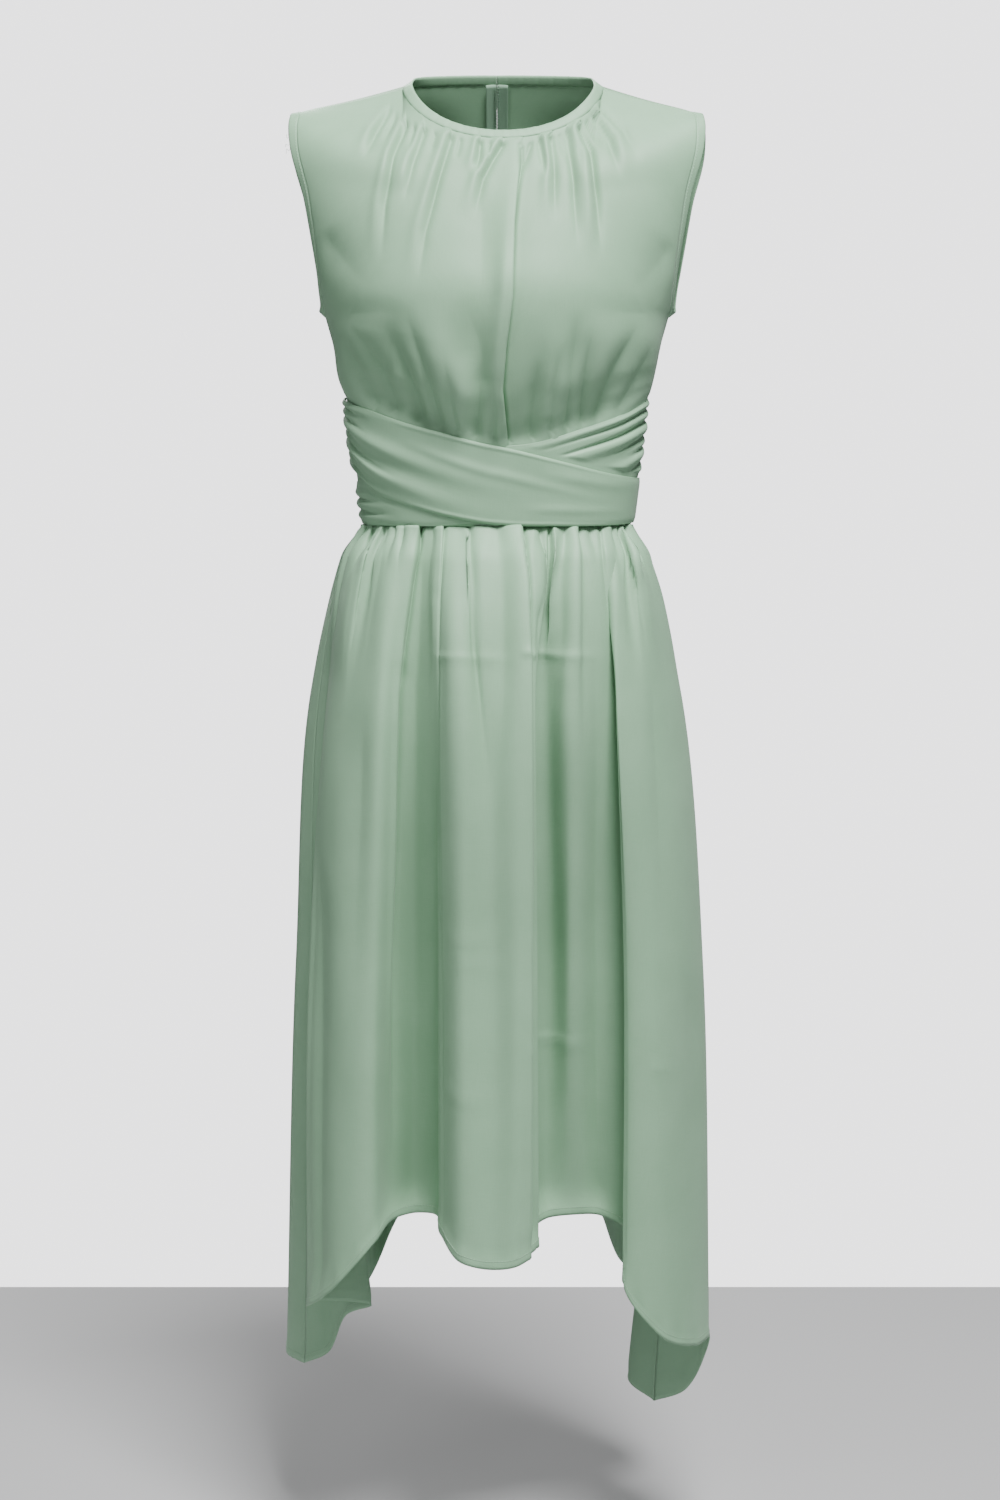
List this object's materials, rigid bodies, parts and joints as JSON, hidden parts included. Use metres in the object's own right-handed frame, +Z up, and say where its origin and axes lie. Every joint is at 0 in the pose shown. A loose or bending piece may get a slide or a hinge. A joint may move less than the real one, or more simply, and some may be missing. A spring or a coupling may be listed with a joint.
{
  "type": "sleeveless a-line dress",
  "caption": "Sleeveless midi dress with a gathered round neck, square shoulders, a bloused bodice, a crossed draped sash and a gathered skirt whose hem drops to a point at each side.",
  "frame": {"origin": "midway between the high points of the two shoulders, where the wearer holds the dress up", "axes": "+Z up, -Y out of the front, +X towards the wearer's left"},
  "size_m": [0.436, 0.3759, 1.358],
  "materials": {
    "cloth": "matte satin, plain woven",
    "zip_metal": "painted to match the cloth"
  },
  "bodies": {
    "dress": {"bodice_front": "cloth", "bodice_back_left": "cloth", "bodice_back_right": "cloth", "neck_binding": "cloth", "armhole_binding_left": "cloth", "armhole_binding_right": "cloth", "sash_over": "cloth", "sash_under": "cloth", "waistband_back_left": "cloth", "waistband_back_right": "cloth", "skirt_front": "cloth", "skirt_back_left": "cloth", "skirt_back_right": "cloth", "zip_slider": "zip_metal"},
    "pull_tab": {"zip_pull": "zip_metal"}
  },
  "joints": [
    {"name": "zip_pull_hinge", "type": "hinge", "parent": "dress", "child": "pull_tab", "pos_m": [0, 0.06096, -0.00046], "axis": [1, 0, 0], "range_deg": [0, 150]}
  ]
}
